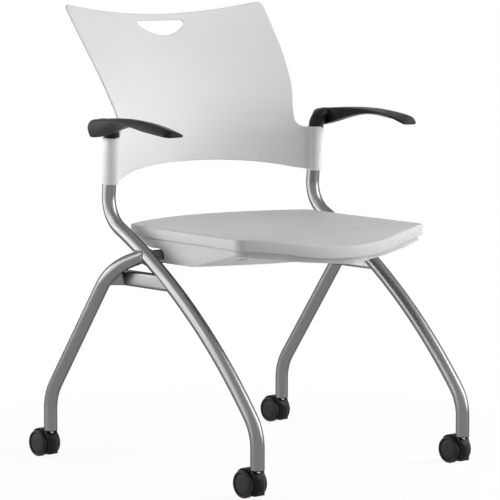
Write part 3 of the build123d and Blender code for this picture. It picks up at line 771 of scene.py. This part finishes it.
TIP_R = 13.0                # the tip's outer corner is rounded in plan,
TIP_WIDTH = 24.0            # outward of this line
TIP_LINE_X = 285.0
FLANK_BULGE = 2.0           # the blade's outer flank, less and less forward of BULGE_Y
BULGE_Y = -170.0
BULGE_RUN = 60.0
BLADE_ROUNDED_Y = -150.0
station_y = [-s[0] for s in ARM_STATIONS]
ARM_LINES = [(curve_through(station_y, [s[k][0] for s in ARM_STATIONS]),
              curve_through(station_y, [s[k][1] for s in ARM_STATIONS])) for k in range(1, 6)]


def arm_values(y):
    """The five section points of the pad at y, smooth between the stations."""
    return [(fx(-y), fz(-y)) for fx, fz in ARM_LINES]


def toward(a, b, amount):
    """Point this far from a on the way to b, at most a third of it."""
    gap = math.dist(a, b)
    t = min(amount / gap, 0.33)
    return (a[0] + (b[0] - a[0]) * t, a[1] + (b[1] - a[1]) * t)


def rounding(y, radius):
    """How far a corner of this radius has fallen at y, near the blade's rear end."""
    off = min(radius, max(0.0, y - (BLADE_END_Y - radius)))
    return radius - math.sqrt(radius * radius - off * off)


def arm_ring(y, edge=1.1):
    """Cage points of the pad's section: two beside each corner and the crown, two on the flanks."""
    inner_low, inner_high, crown, outer_high, outer_low = arm_values(y)
    bulge = FLANK_BULGE * max(0.0, min(1.0, (y - (BULGE_Y - BULGE_RUN)) / BULGE_RUN))
    flank = (0.5 * (outer_high[0] + outer_low[0]) + bulge, 0.5 * (outer_high[1] + outer_low[1]))
    ring = [
        toward(inner_low, outer_low, edge), toward(inner_low, inner_high, edge),
        toward(inner_high, inner_low, edge), toward(inner_high, crown, edge),
        toward(crown, inner_high, 3.0), toward(crown, outer_high, 2.4),
        toward(outer_high, crown, 1.8), toward(outer_high, flank, edge), flank,
        toward(outer_low, flank, edge), toward(outer_low, inner_low, edge),
        (0.5 * (inner_low[0] + outer_low[0]), 0.5 * (inner_low[1] + outer_low[1])),
    ]
    if y > BLADE_ROUNDED_Y:
        low = min(z for x, z in ring)
        high = max(z for x, z in ring)
        middle = 0.45 * low + 0.55 * high
        up = 1 - rounding(y, BLADE_TOP_R) / (high - middle)
        down = 1 - rounding(y, BLADE_LOW_R) / (middle - low)
        ring = [(x, middle + (z - middle) * (up if z > middle else down)) for x, z in ring]
    off = min(TIP_R, max(0.0, TIP_R - (y - TIP_Y)))
    narrow = 1 - (TIP_R - math.sqrt(TIP_R * TIP_R - off * off)) / TIP_WIDTH
    return [(TIP_LINE_X + (x - TIP_LINE_X) * narrow if x > TIP_LINE_X else x, y, z)
            for x, z in ring]


def shrunk(ring, amount):
    """The ring drawn in towards its middle by amount."""
    middle = sum((Vector(p) for p in ring), Vector()) / len(ring)
    return [tuple(Vector(p) + (middle - Vector(p)).normalized() * amount) for p in ring]


arm_rows = [BLADE_END_Y, BLADE_END_Y - 1.2, -112.5, -116.5, -121.5, -128]
arm_rows += list(np.arange(-138, -358, -8.0)) + [-358, -362, -366, -369.2, -371.6, -372.6]
rings = [arm_ring(y) for y in arm_rows]
rings = [shrunk([(x, BLADE_END_Y, z) for x, y, z in rings[0]], 1.0), *rings[1:]]
rings.append(shrunk([(x, TIP_Y, z) for x, y, z in rings[-1]], 0.9))
count = len(rings[0])
pad_verts = [p for ring in rings for p in ring]
pad_faces = [(i * count + k, i * count + (k + 1) % count, (i + 1) * count + (k + 1) % count,
              (i + 1) * count + k) for i in range(len(rings) - 1) for k in range(count)]
pad_faces += [tuple(range(count)), tuple((len(rings) - 1) * count + k for k in range(count))]
post_foot = Vector((FRONT_X, upright_y(SLEEVE_TOP_Z), SLEEVE_TOP_Z))
post_corner = post_foot + UPRIGHT_DIR * POST_RISE
post_end = post_corner + Vector((POST_REACH, 0, 0))
post_route = rounded_route([post_foot, post_corner, post_end], (POST_BEND_R,), 20)
peg_top = UPRIGHT_TOP + UPRIGHT_DIR * PEG_ABOVE
peg_route = [peg_top - UPRIGHT_DIR * PEG_LENGTH, peg_top]
for hand, flip in (("left", list), ("right", mirrored)):
    arm = piece_from(f"arm_moulding_{hand}", to_chair(flip(pad_verts)), pad_faces)
    arm.data.materials.append(arm_black)
    outward(arm)
    smooth = arm.modifiers.new("smooth", "SUBSURF")
    smooth.levels = smooth.render_levels = 3
    settle(arm, 60.0)
    post = drawn_tube(f"post_{hand}", flip(post_route), POST_R, arm_black, 48)
    peg = drawn_tube(f"peg_{hand}", flip(peg_route), PEG_R, arm_black, 32)
    with bpy.context.temp_override(active_object=arm, object=arm,
                                   selected_editable_objects=[arm, post, peg]):
        bpy.ops.object.join()
    dress(arm, "frame", "arm_plastic", f"arm_{hand}")


# ---------------------------------------------------------------- seat top
# Upper half of the seat, a grey moulding that is dished for the sitter and rolls down at its front
# edge. Its sides are a narrow skirt over the pan.
seat_grey = finish("seat_grey", (0.52, 0.53, 0.525), 0.015, (0.50, 0.58), grain=420.0,
                   depth=0.00004, gloss=0.35)
SEAT_SIDE_X = 227.5
SEAT_REAR_X = 223.0
TOP_LINE = [(-60, 452), (-120, 450.3), (-200, 448.5), (-300, 446.8), (-400, 445.3), (-450, 444.8),
            (-476, 444.2), (-491, 441.8), (-502, 437.2), (-512, 431.8), (-522, 426.8),
            (-532, 422.5), (-545, 417)]
SKIRT_LINE = [(-60, 431), (-200, 428.5), (-400, 427), (-450, 426.2), (-476, 424.6), (-492, 420.8),
              (-503, 416.2), (-512, 410.8), (-522, 405.3), (-532, 401), (-545, 396)]
SKIRT_FLARE = 1.006         # the skirt's lower edge stands out a little past the top
DISH_LOW_Z = 440.1
DISH_Y = -300.0
DISH_R = 3200.0
DISH_BLEND = 3.0
SEAT_LIFT = 0.3
SEAT_RIM = 2.2
SEAT_LOW_RIM = 1.0
SEAT_SPACING = 9.0
SIDE_FRONT_Y = -461.0       # the straight sides run from here
SIDE_REAR_Y = -174.0        # to here
seat_upper = curve_through([y for y, z in TOP_LINE][::-1], [z for y, z in TOP_LINE][::-1])
seat_skirt = curve_through([y for y, z in SKIRT_LINE][::-1], [z for y, z in SKIRT_LINE][::-1])


def seat_point(x, y, depth, far):
    """Point of the seat top under its upper face, or over its lower edge."""
    if far:
        wide_y = DISH_Y + (y - DISH_Y) * SKIRT_FLARE
        return Vector((x * SKIRT_FLARE, wide_y, seat_skirt(y) + depth))
    dish = DISH_LOW_Z + (x * x + (y - DISH_Y) ** 2) / (2 * DISH_R)
    return Vector((x, y, blend_min(seat_upper(y), dish, DISH_BLEND) + SEAT_LIFT - depth))


seat_front = [(-215, -478.5), (-205, -482.5), (-175, -493.5), (-140, -504), (-100, -515.2),
              (-50, -524.8), (0, -528.5)]
seat_rear = [(212, -151), (172, -128), (120, -103.5), (62, -85.5), (0, -79)]
front_run = line_through(seat_front + plane_mirror(seat_front[:-1]), 5.0)
rear_run = line_through(seat_rear + plane_mirror(seat_rear[:-1]), 5.0)
side_front = (SEAT_SIDE_X, SIDE_FRONT_Y)
side_rear = (SEAT_REAR_X, SIDE_REAR_Y)
side_run = (arc_through(front_run[-1], (SEAT_SIDE_X - 3.2, -470.5), side_front, 8)
            + [tuple(p) for p in np.linspace(side_front, side_rear, 50)]
            + arc_through(side_rear, (SEAT_REAR_X - 2.2, -160.5), rear_run[0], 6))
seat_outline = loop_of([front_run, side_run, rear_run, plane_mirror(side_run)])
top_verts, top_faces = moulded_plate(seat_outline, [], seat_point, SEAT_RIM, SEAT_LOW_RIM,
                                     SEAT_SPACING)
seat_top = piece_from("seat_top_moulding", to_chair(top_verts), top_faces)
seat_top.data.materials.append(seat_grey)
settle(outward(seat_top), 50.0)
dress(seat_top, "seat", "seat_plastic", "seat_top")


# ---------------------------------------------------------------- seat pan
# Lower half of the seat: shallow behind the pivot, a belly with sloping sides in front of it. It
# hangs on the two clamps and has two round recesses for its front screws.
pan_grey = finish("pan_grey", (0.52, 0.53, 0.525), 0.012, (0.56, 0.64), grain=420.0,
                  depth=0.00003, gloss=0.2)
pan = softened("seat_pan", "seat_pan_moulding", 0.9, pan_grey, angle=28.0)
dress(pan, "seat", "shell_plastic", "seat_pan")


# ---------------------------------------------------------------- underside screws
# Eight zinc-plated pan-head screws with a cross drive, four through the clamps and four in the pan.
PAN_REAR_Z = 413.0
FLANGE_T = 3.0
CROSS_LONG = 4.4            # the drive: two slots across each other, cut from below the head
CROSS_WIDE = 1.0
CROSS_TALL = 2.4
CROSS_MIDDLE_Z = -2.8
SCREW_PLACES = {
    "seat_pan_screws": [(-180.0, -430.6, 410.0), (180.0, -430.6, 410.0),
                        (-195.0, -168.7, PAN_REAR_Z), (195.0, -168.7, PAN_REAR_Z)],
    "clamp_screws": [(x, -205.3, PAN_REAR_Z - FLANGE_T) for x in (-160.0, -140.0, 140.0, 160.0)],
}


def screw_form():
    """One screw, head down, seated at the origin, in metres: turned, with a cross cut into it."""
    profile = [(-3.0, 0.4), (-3.0, 3.0), (-2.8, 3.7), (-2.2, 4.3), (-1.4, 4.6), (0, 4.6), (0, 2.4),
               (10.4, 2.4), (11.0, 1.9)]
    verts, faces = lathe(profile, Vector(), Vector((0, 0, 1)), 28, closed=False)
    screw = piece_from("screw_form", [v * MM for v in verts], faces)
    outward(screw)
    for size_x, size_y in ((CROSS_WIDE, CROSS_LONG), (CROSS_LONG, CROSS_WIDE)):
        bm = bmesh.new()
        bmesh.ops.create_cube(bm, size=1.0)
        for v in bm.verts:
            v.co = (v.co.x * size_x * MM, v.co.y * size_y * MM,
                    (v.co.z * CROSS_TALL + CROSS_MIDDLE_Z) * MM)
        mesh = bpy.data.meshes.new("cross_arm")
        bm.to_mesh(mesh)
        bm.free()
        cutter = bpy.data.objects.new("cross_arm", mesh)
        bpy.context.scene.collection.objects.link(cutter)
        cut = screw.modifiers.new("cross", "BOOLEAN")
        cut.operation = "DIFFERENCE"
        cut.solver = "EXACT"
        cut.object = cutter
        settle(screw, 30.0)
        bpy.data.objects.remove(cutter)
    return screw


def screw_tree():
    """Each point of the piece becomes one screw."""
    tree, given, result = tree_with("screws_on_points", [
        ("Screw", "NodeSocketObject"), ("Material", "NodeSocketMaterial")])
    scatter = tree.nodes.new("GeometryNodeInstanceOnPoints")
    form = tree.nodes.new("GeometryNodeObjectInfo")
    real = tree.nodes.new("GeometryNodeRealizeInstances")
    paint = tree.nodes.new("GeometryNodeSetMaterial")
    tree.links.new(given.outputs["Screw"], form.inputs["Object"])
    tree.links.new(form.outputs["Geometry"], scatter.inputs["Instance"])
    tree.links.new(given.outputs["Material"], paint.inputs["Material"])
    chain(tree, given, scatter, real, paint, result)
    return tree


screw = screw_form()
screws_on_points = screw_tree()
for node, places in SCREW_PLACES.items():
    screws = piece_from(f"{node}_plated", to_chair(places), ())
    grown(screws, screws_on_points, {"Screw": screw}, zinc)
    screws.data.set_sharp_from_angle(angle=math.radians(30))
    dress(screws, "seat", "plain_steel", node)
bpy.data.objects.remove(screw)


# ---------------------------------------------------------------- casters
# Four twin-wheel casters: a black hood with a round stem housing, a steel stem and axle, and two
# black nylon wheels with a face disc set into each tyre.
WHEEL_R = 25.0
TRAIL = 20.0
hood_black = finish("hood_black", (0.008, 0.008, 0.0085), 0.12, (0.42, 0.50), grain=900.0,
                    depth=0.00003, gloss=0.12)
wheel_black = finish("wheel_black", (0.015, 0.015, 0.0155), 0.10, (0.42, 0.50), grain=900.0,
                     depth=0.00003, gloss=0.15)
WHEEL_PROFILE = [
    (19.55, 0.3), (19.6, 5.0), (19.5, 10.0), (19.3, 14.5), (19.05, 17.4), (18.6, 18.2),
    (17.9, 18.5), (17.9, 19.1), (18.9, 19.5), (20.0, 20.0), (20.5, 20.9), (20.4, 21.9),
    (19.9, 22.9), (19.0, 23.9), (17.9, 24.6), (16.4, WHEEL_R), (9.4, WHEEL_R), (7.8, 24.6),
    (6.9, 23.8), (6.5, 22.6),
    (6.7, 21.7), (9.5, 21.2), (9.5, 7.5), (6.7, 7.2), (6.5, 6.8), (6.5, 3.05), (17.3, 3.05)]


def wheel(name, x, y, side):
    """Wheel of one side of a caster."""
    verts, faces = lathe([(side * a, r) for a, r in WHEEL_PROFILE], Vector((x, y + TRAIL, WHEEL_R)),
                         Vector((1, 0, 0)), 88, closed=False)
    piece = piece_from(name, to_chair(verts), faces)
    piece.data.materials.append(wheel_black)
    return settle(outward(piece), 38.0)


for end, leg_x, leg_y in (("front", FRONT_X, FRONT_FOOT[0]), ("rear", REAR_X, 0.0)):
    for hand, sign in (("left", 1), ("right", -1)):
        corner = f"{end}_{hand}"
        x = sign * leg_x
        for where, side in (("outer", sign), ("inner", -sign)):
            body = f"wheel_{where}_{corner}"
            dress(wheel(f"{body}_turned", x, leg_y, side), body, "wheel_plastic",
                  f"caster_wheel_{where}_{corner}")
        for part, body, edge, material, slot in (
            ("hood", f"caster_{corner}", 0.6, hood_black, "caster_plastic"),
            ("socket", "frame", 0.3, hood_black, "caster_plastic"),
            ("stem", f"caster_{corner}", 0.4, zinc, "plain_steel"),
            ("axle", f"caster_{corner}", 0.3, zinc, "plain_steel"),
        ):
            node = f"caster_{part}_{corner}"
            dress(softened(node, f"{part}_{corner}", edge, material), body, slot, node)


# ---------------------------------------------------------------- studio
# White seamless floor and surroundings, soft boxes on either side of the chair and behind it, weak
# ones high in front and on its right hand, seen by a long lens from the sitter's right front.
FLOOR_HALF = 9
FLOOR_WHITE = 0.93
FADE_FROM = 0.35            # metres from the chair's origin between which the floor turns white
FADE_TO = 1.1
AMBIENT = 0.13
CHAIR_MIDDLE = Vector((0, 0, 0.45))
# name, place, width, height and power of each soft box, turned to the chair's middle
SOFT_BOXES = (
    ("box_right", (1.75, -1.47, 1.45), 1.0, 2.4, 69.0),
    ("box_front", (0.73, -2.00, 1.94), 1.0, 1.4, 4.0),
    ("box_rear", (-1.65, 1.97, 0.81), 1.0, 1.4, 22.0),
    ("box_left", (-2.17, 1.01, 0.85), 1.6, 1.9, 26.0),
    ("box_above", (-2.12, 0.26, 1.75), 0.9, 1.0, 9.0),
)
LENS = 192.535
CAMERA_PLACE = (-3.245, -3.7676, 0.9435)
CAMERA_FALL = 6.31          # degrees below level
CAMERA_TURN = -40.59        # degrees about Z from facing +Y


def white_shown(tree, other, near, far):
    """Mixes plain white, by near to far level outward, into what camera, gloss and glass see."""
    path = tree.nodes.new("ShaderNodeLightPath")
    white = tree.nodes.new("ShaderNodeEmission")
    white.inputs["Strength"].default_value = 1.0
    place = tree.nodes.new("ShaderNodeTexCoord").outputs["Object"]
    away = tree.nodes.new("ShaderNodeVectorMath")
    away.operation = "LENGTH"
    level = tree.nodes.new("ShaderNodeMapRange")
    level.interpolation_type = "SMOOTHSTEP"
    level.inputs["From Min"].default_value = FADE_FROM
    level.inputs["From Max"].default_value = FADE_TO
    level.inputs["To Min"].default_value = near
    level.inputs["To Max"].default_value = far
    tree.links.new(place, away.inputs[0])
    tree.links.new(away.outputs["Value"], level.inputs["Value"])
    shown = path.outputs["Is Camera Ray"]
    for ray in ("Is Glossy Ray", "Is Transmission Ray"):
        either = tree.nodes.new("ShaderNodeMath")
        either.operation = "MAXIMUM"
        tree.links.new(shown, either.inputs[0])
        tree.links.new(path.outputs[ray], either.inputs[1])
        shown = either.outputs[0]
    seen = tree.nodes.new("ShaderNodeMath")
    seen.operation = "MULTIPLY"
    tree.links.new(shown, seen.inputs[0])
    tree.links.new(level.outputs["Result"], seen.inputs[1])
    mix = tree.nodes.new("ShaderNodeMixShader")
    tree.links.new(seen.outputs[0], mix.inputs["Fac"])
    tree.links.new(other, mix.inputs[1])
    tree.links.new(white.outputs["Emission"], mix.inputs[2])
    return mix.outputs["Shader"]


floor_material = bpy.data.materials.new("white_floor")
floor_material.use_nodes = True
floor_tree = floor_material.node_tree
paper = floor_tree.nodes["Principled BSDF"]
paper.inputs["Base Color"].default_value = (FLOOR_WHITE, FLOOR_WHITE, FLOOR_WHITE, 1)
paper.inputs["Roughness"].default_value = 0.9
floor_tree.links.new(white_shown(floor_tree, paper.outputs["BSDF"], FLOOR_WHITE, 1.0),
                     floor_tree.nodes["Material Output"].inputs["Surface"])
floor_corners = [(x * FLOOR_HALF, y * FLOOR_HALF, 0)
                 for x, y in ((-1, -1), (1, -1), (1, 1), (-1, 1))]
floor = piece_from("floor", floor_corners, [(0, 1, 2, 3)])
floor.data.materials.append(floor_material)

world = bpy.data.worlds.new("studio")
bpy.context.scene.world = world
world.use_nodes = True
world_tree = world.node_tree
ambient = world_tree.nodes["Background"]
ambient.inputs["Color"].default_value = (1, 1, 1, 1)
ambient.inputs["Strength"].default_value = AMBIENT
world_tree.links.new(white_shown(world_tree, ambient.outputs["Background"], 1.0, 1.0),
                     world_tree.nodes["World Output"].inputs["Surface"])

for name, place, width, height, power in SOFT_BOXES:
    lamp = bpy.data.lights.new(name, "AREA")
    lamp.shape = "RECTANGLE"
    lamp.size = width
    lamp.size_y = height
    lamp.energy = power
    box = bpy.data.objects.new(name, lamp)
    box.location = place
    box.rotation_euler = (CHAIR_MIDDLE - Vector(place)).to_track_quat("-Z", "Y").to_euler()
    bpy.context.scene.collection.objects.link(box)

lens = bpy.data.cameras.new("camera")
lens.lens = LENS
lens.sensor_width = 36.0
lens.clip_end = 50.0
camera = bpy.data.objects.new("camera", lens)
camera.location = CAMERA_PLACE
camera.rotation_euler = (math.radians(90 - CAMERA_FALL), 0, math.radians(CAMERA_TURN))
bpy.context.scene.collection.objects.link(camera)
bpy.context.scene.camera = camera
bpy.context.scene.view_settings.view_transform = "Standard"
